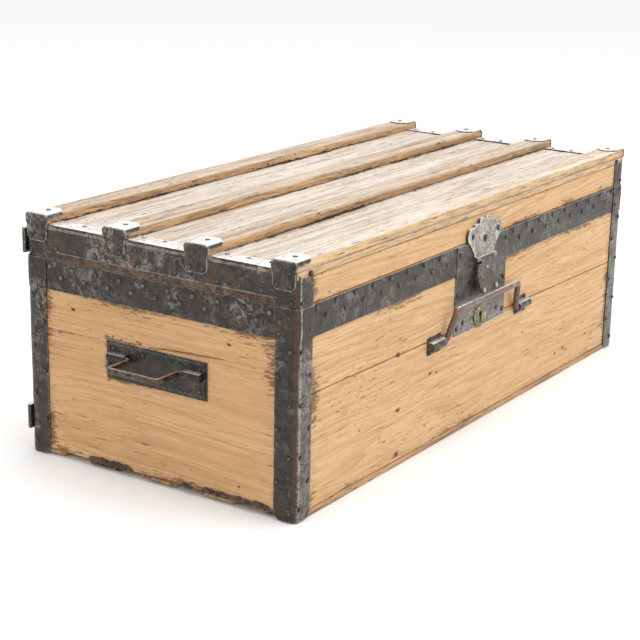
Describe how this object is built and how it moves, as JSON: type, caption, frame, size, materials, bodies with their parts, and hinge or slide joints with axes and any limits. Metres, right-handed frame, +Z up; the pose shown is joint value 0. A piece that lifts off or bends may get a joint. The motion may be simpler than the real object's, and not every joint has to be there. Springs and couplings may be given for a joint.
{
  "type": "steamer trunk",
  "caption": "Low wooden travel trunk with steel edge trim, slatted hinged lid, swinging hasp lock, front bail handle and a swinging handle on each end.",
  "frame": {"origin": "on the floor under the middle of the trunk's five runners", "axes": "+X along the length to the right end seen from the front, -Y out of the front with the lock, +Z up"},
  "size_m": [1.0526, 0.4721, 0.3416],
  "materials": {
    "pine_board": "worn varnish, honey pine",
    "weathered_plank": "bleached, bare grain",
    "slat_wood": "weathered",
    "dark_sheet": "dark japanned sheet steel, worn to bare metal in patches",
    "dark_strip": "dark brown, rusty",
    "bright_steel": "polished by wear",
    "handle_iron": "brown patina",
    "nail_iron": "dark, worn on the crown",
    "brass": "aged"
  },
  "bodies": {
    "trunk_body": {"back_board_lower": "pine_board", "back_board_upper": "pine_board", "bail_brackets": "dark_sheet", "band_front": "dark_sheet", "band_left": "dark_sheet", "band_rear": "dark_sheet", "band_right": "dark_sheet", "body_nails": "nail_iron", "corner_angle_front_left": "dark_sheet", "corner_angle_front_right": "dark_sheet", "corner_angle_rear_left": "dark_sheet", "corner_angle_rear_right": "dark_sheet", "corner_wraps": "dark_sheet", "dust_lip": "pine_board", "end_bindings": "dark_strip", "floor_boards": "pine_board", "floor_runners": "slat_wood", "front_board_lower": "pine_board", "front_board_upper": "pine_board", "handle_plate_left": "dark_sheet", "handle_plate_right": "dark_sheet", "hinge_leaves_body": "dark_sheet", "hinge_pins": "handle_iron", "keyhole_escutcheon": "brass", "left_end_board": "pine_board", "lock_case": "dark_sheet", "lock_plate": "dark_sheet", "rear_batten": "slat_wood", "rear_batten_caps": "dark_sheet", "right_end_board": "pine_board"},
    "lid": {"hasp_pin": "bright_steel", "hasp_plate": "bright_steel", "hinge_leaves_lid": "dark_sheet", "lid_back_board": "pine_board", "lid_batten": "slat_wood", "lid_batten_caps": "dark_sheet", "lid_corner_angles": "dark_sheet", "lid_end_plate_left": "dark_sheet", "lid_end_plate_right": "dark_sheet", "lid_front_board": "pine_board", "lid_left_board": "pine_board", "lid_nails": "nail_iron", "lid_plank_front": "weathered_plank", "lid_plank_middle": "weathered_plank", "lid_plank_rear": "weathered_plank", "lid_right_board": "pine_board", "lid_rims": "dark_strip", "lid_slat_1": "slat_wood", "lid_slat_2": "slat_wood", "lid_slat_3": "slat_wood", "lid_slat_4": "slat_wood", "slat_clamps_left": "dark_sheet", "slat_clamps_right": "dark_sheet"},
    "hasp": {"hasp": "dark_sheet"},
    "lock_bolt": {"lock_bolt": "handle_iron"},
    "front_bail": {"front_bail": "bright_steel"},
    "end_handle_left": {"end_handle_left": "handle_iron"},
    "end_handle_right": {"end_handle_right": "handle_iron"}
  },
  "joints": [
    {"name": "lid_open", "type": "hinge", "parent": "trunk_body", "child": "lid", "pos_m": [0, 0.2256, 0.281], "axis": [-1, 0, 0], "range_deg": [0, 101]},
    {"name": "hasp_swing", "type": "hinge", "parent": "lid", "child": "hasp", "pos_m": [-0.008, -0.2258, 0.254], "axis": [-1, 0, 0], "range_deg": [-11, 120]},
    {"name": "bolt_slide", "type": "slide", "parent": "trunk_body", "child": "lock_bolt", "axis": [1, 0, 0], "range_m": [0, 0.008]},
    {"name": "front_bail_swing", "type": "hinge", "parent": "trunk_body", "child": "front_bail", "pos_m": [-0.008, -0.22486, 0.154], "axis": [1, 0, 0], "range_deg": [-11, 165]},
    {"name": "left_handle_swing", "type": "hinge", "parent": "trunk_body", "child": "end_handle_left", "pos_m": [-0.47836, 0, 0.166], "axis": [0, 1, 0], "range_deg": [-87, 85]},
    {"name": "right_handle_swing", "type": "hinge", "parent": "trunk_body", "child": "end_handle_right", "pos_m": [0.47836, 0, 0.166], "axis": [0, -1, 0], "range_deg": [-87, 85]}
  ]
}
